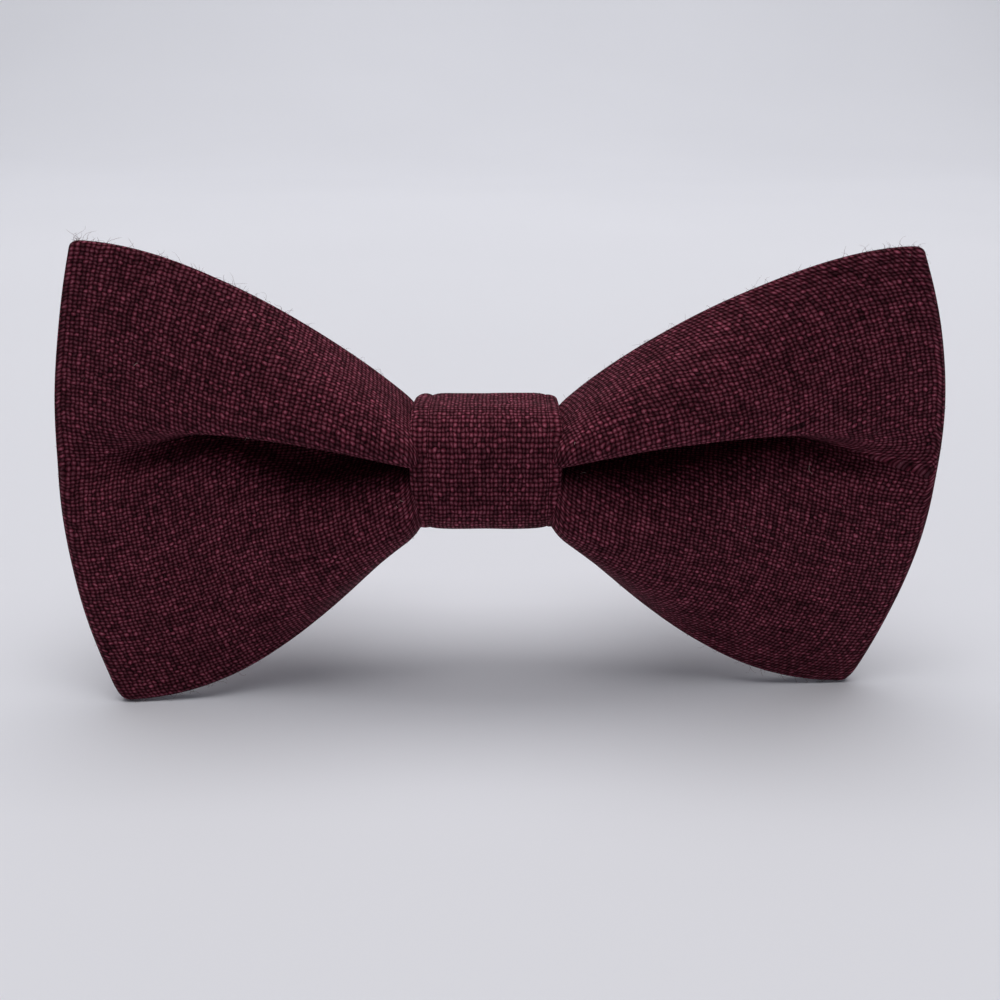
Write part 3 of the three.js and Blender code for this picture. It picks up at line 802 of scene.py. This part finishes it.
def face_fuzz(grid, random, count, lift, shortest, longest, clear=0.0):
    """Fibres that lie close over a cloth's face."""
    lines = []
    normal = normals_of(grid)
    for _ in range(count):
        k = random.randrange(4, len(grid) - 4)
        j = random.randrange(1, grid.shape[1] - 2)
        if abs(grid[k, j, 0] - KNOT_SHIFT) < clear:
            continue
        t = random.random()
        root = lerp(grid[k, j], grid[k + 1, j + 1], t) + normal[k, j] * lift
        along = grid[k, j + 1] - grid[k, j]
        along = along / max(np.linalg.norm(along), 1e-6)
        length = lerp(shortest, longest, random.random() ** 2)
        out = normal[k, j] * 0.25 + along * random.uniform(-0.8, 0.8) + np.cross(normal[k, j], along) * 0.6
        lines.append(hair(random, root, out / np.linalg.norm(out), along, length))
    return lines


# ---------------------------------------------------------------- camera
CAMERA_PLACE = (0.4, -139.7, 48.3)
CAMERA_PITCH = math.radians(21.05)
CAMERA_LENS = 38.4


def make_camera():
    data = bpy.data.cameras.new("camera")
    data.lens = CAMERA_LENS
    data.sensor_width = 36
    data.clip_start = 0.005
    camera = bpy.data.objects.new("camera", data)
    camera.location = in_frame(CAMERA_PLACE)
    camera.rotation_euler = (math.pi / 2 - CAMERA_PITCH, 0, 0)
    bpy.context.scene.collection.objects.link(camera)
    bpy.context.scene.camera = camera


# ---------------------------------------------------------------- floor and light
FLOOR_FRONT = -1.6
FLOOR_FLAT = 2.6
FLOOR_BEND = 1.2


def make_floor():
    """A pale floor that curves up into a backdrop far behind."""
    bm = bmesh.new()
    bmesh.ops.create_grid(bm, x_segments=2, y_segments=48, size=1.0)
    for vert in bm.verts:
        along = vert.co.y + 1
        vert.co.x *= 4.0
        travel = along * 3.0
        angle = min(max((travel - FLOOR_FLAT) / FLOOR_BEND, 0.0), math.pi / 2)
        rise = max(travel - FLOOR_FLAT - FLOOR_BEND * math.pi / 2, 0.0)
        vert.co.y = FLOOR_FRONT + min(travel, FLOOR_FLAT) + FLOOR_BEND * math.sin(angle)
        vert.co.z = FLOOR_BEND * (1 - math.cos(angle)) + rise
    bmesh.ops.recalc_face_normals(bm, faces=bm.faces)
    floor = new_piece("floor", bm, pale_floor())


def area_light(name, place, target, size, power, colour):
    data = bpy.data.lights.new(name, "AREA")
    data.shape = "RECTANGLE"
    data.size, data.size_y = size
    data.energy = power
    data.color = colour
    light = bpy.data.objects.new(name, data)
    light.location = place
    light.rotation_euler = (Vector(target) - Vector(place)).to_track_quat("-Z", "Y").to_euler()
    bpy.context.scene.collection.objects.link(light)


def make_light():
    area_light("overhead", (0.0, 0.05, 1.9), (0, 0.05, 0), (2.6, 1.8), 40.0, (1.0, 0.985, 0.98))
    area_light("backdrop", (0.0, 1.0, 1.6), (0, 2.4, 0.5), (2.6, 1.2), 9.0, (0.98, 0.985, 1.0))
    world = bpy.data.worlds.new("studio")
    bpy.context.scene.world = world
    world.use_nodes = True
    background = world.node_tree.nodes["Background"]
    background.inputs["Color"].default_value = (0.82, 0.85, 0.95, 1)
    background.inputs["Strength"].default_value = 0.08
    bpy.context.scene.view_settings.view_transform = "Standard"


# ---------------------------------------------------------------- pieces
def make_bow(cloth, lining, thread):
    grid, fold, is_front = bow_loop()
    bow = lined_sleeve("bow_cloth", grid, fold, CLOTH, cloth, pleated=is_front)
    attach(bow, "bow")
    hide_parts("bow_fabric")
    inner = inner_sheet("bow_lining", grid, lining, margin=3)
    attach(inner, "bow")
    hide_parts("bow_interlining")
    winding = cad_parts["gathering_thread"]
    winding.data.materials.clear()
    winding.data.materials.append(thread)
    return grid


def make_wrap(cloth, lining):
    grid = wrap_grid()
    wrap = lined_sleeve("knot_wrap_cloth", grid, WRAP_MIDDLE_STATION, CLOTH, cloth)
    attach(wrap, "bow")
    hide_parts("knot_wrap")
    inner = inner_sheet("knot_wrap_lining", grid, lining)
    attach(inner, "bow")
    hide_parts("knot_interlining")
    return grid


def make_band(name, side, body, return_end, cloth, lining, extra_fabric, extra_lining):
    grid = band_grid(side, return_end)
    strap = lined_sleeve(name, grid, 0, STRAP_CLOTH, cloth)
    inner = inner_sheet(name + "_lining", grid, lining, end_gap=2)
    for piece in (strap, inner):
        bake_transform(piece)
    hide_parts(body + "_fabric", *extra_fabric)
    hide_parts(body + "_interlining", *extra_lining)


def make_stitches(thread):
    rows = [
        ("knot_closing_stitches", "bow", 1.25),
        ("eye_bar_tack", "left_band", 0.42),
        ("tail_hem_stitches", "right_band", 0.42),
    ]
    for node, body, pitch in rows:
        low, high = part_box(node)
        radius = (high.y - low.y) / 2 / MM
        centre = (middle_of(node) - KNOT) / MM
        reach = (high.x - low.x) / 2 / MM - radius
        spread = (high.z - low.z) / 2 / MM - radius
        line = zigzag(centre.x - reach, centre.x + reach, centre.y - 0.1, pitch, spread)
        line[:, 2] += centre.z
        piece = tube_piece(node + "_thread", [line], radius, thread, sides=2)
        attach(piece, body)
        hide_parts(node)


def make_fuzz(bow, wrap):
    """Short fibres of the linen's own colour, and a few pale ones that have settled on it."""
    random = Random(7)
    dark = loose_fibre("burgundy_fibre", (0.16, 0.04, 0.055))
    pale = loose_fibre("pale_lint", (0.55, 0.46, 0.40))

    def thin(t):
        return 1.0 - 0.65 * t

    lines = edge_fuzz(bow, random, 900, 0.35, 2.3, KNOT_CLEAR)
    lines += face_fuzz(bow, random, 500, 0.6, 0.3, 0.8, KNOT_CLEAR)
    lines += edge_fuzz(wrap, random, 90, 0.25, 0.8)
    lines += face_fuzz(wrap, random, 70, 0.6, 0.25, 0.6)
    fuzz = tube_piece("linen_fuzz", lines, FUZZ_RADIUS, dark, sides=0, taper=thin)
    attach(fuzz, "bow")
    specks = face_fuzz(bow, random, 34, 0.66, 0.3, 1.1, KNOT_CLEAR)
    specks += face_fuzz(wrap, random, 6, 0.66, 0.3, 0.9)
    specks += edge_fuzz(bow, random, 40, 0.6, 1.8, KNOT_CLEAR)
    lint = tube_piece("pale_lint_fibres", specks, LINT_RADIUS, pale, sides=0, taper=thin)
    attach(lint, "bow")


make_camera()
make_floor()
make_light()

bow_cloth = burgundy_linen()
lining_cloth = undyed_interlining()
seam_thread = spun_thread("burgundy_thread", (0.14, 0.03, 0.045))
nickel = satin_nickel()

bow_grid = make_bow(bow_cloth, lining_cloth, seam_thread)
wrap_points = make_wrap(bow_cloth, lining_cloth)
make_band("left_neck_band", -1, "left_band", EYE_LAP_END, bow_cloth, lining_cloth,
          ["neck_band_middle_fabric"], ["neck_band_middle_interlining"])
make_band("right_neck_band", 1, "right_band", TAIL_END, bow_cloth, lining_cloth, [], [])
make_stitches(seam_thread)
rounded_hardware("nickel_eye", "band_eye", "eye", nickel, 0.3)
rounded_hardware("nickel_hook", "band_hook", "hook", nickel, 0.28)
rounded_hardware("nickel_slider", "band_slider", "slider", nickel, 0.28)
make_fuzz(bow_grid, wrap_points)

bpy.context.view_layer.update()
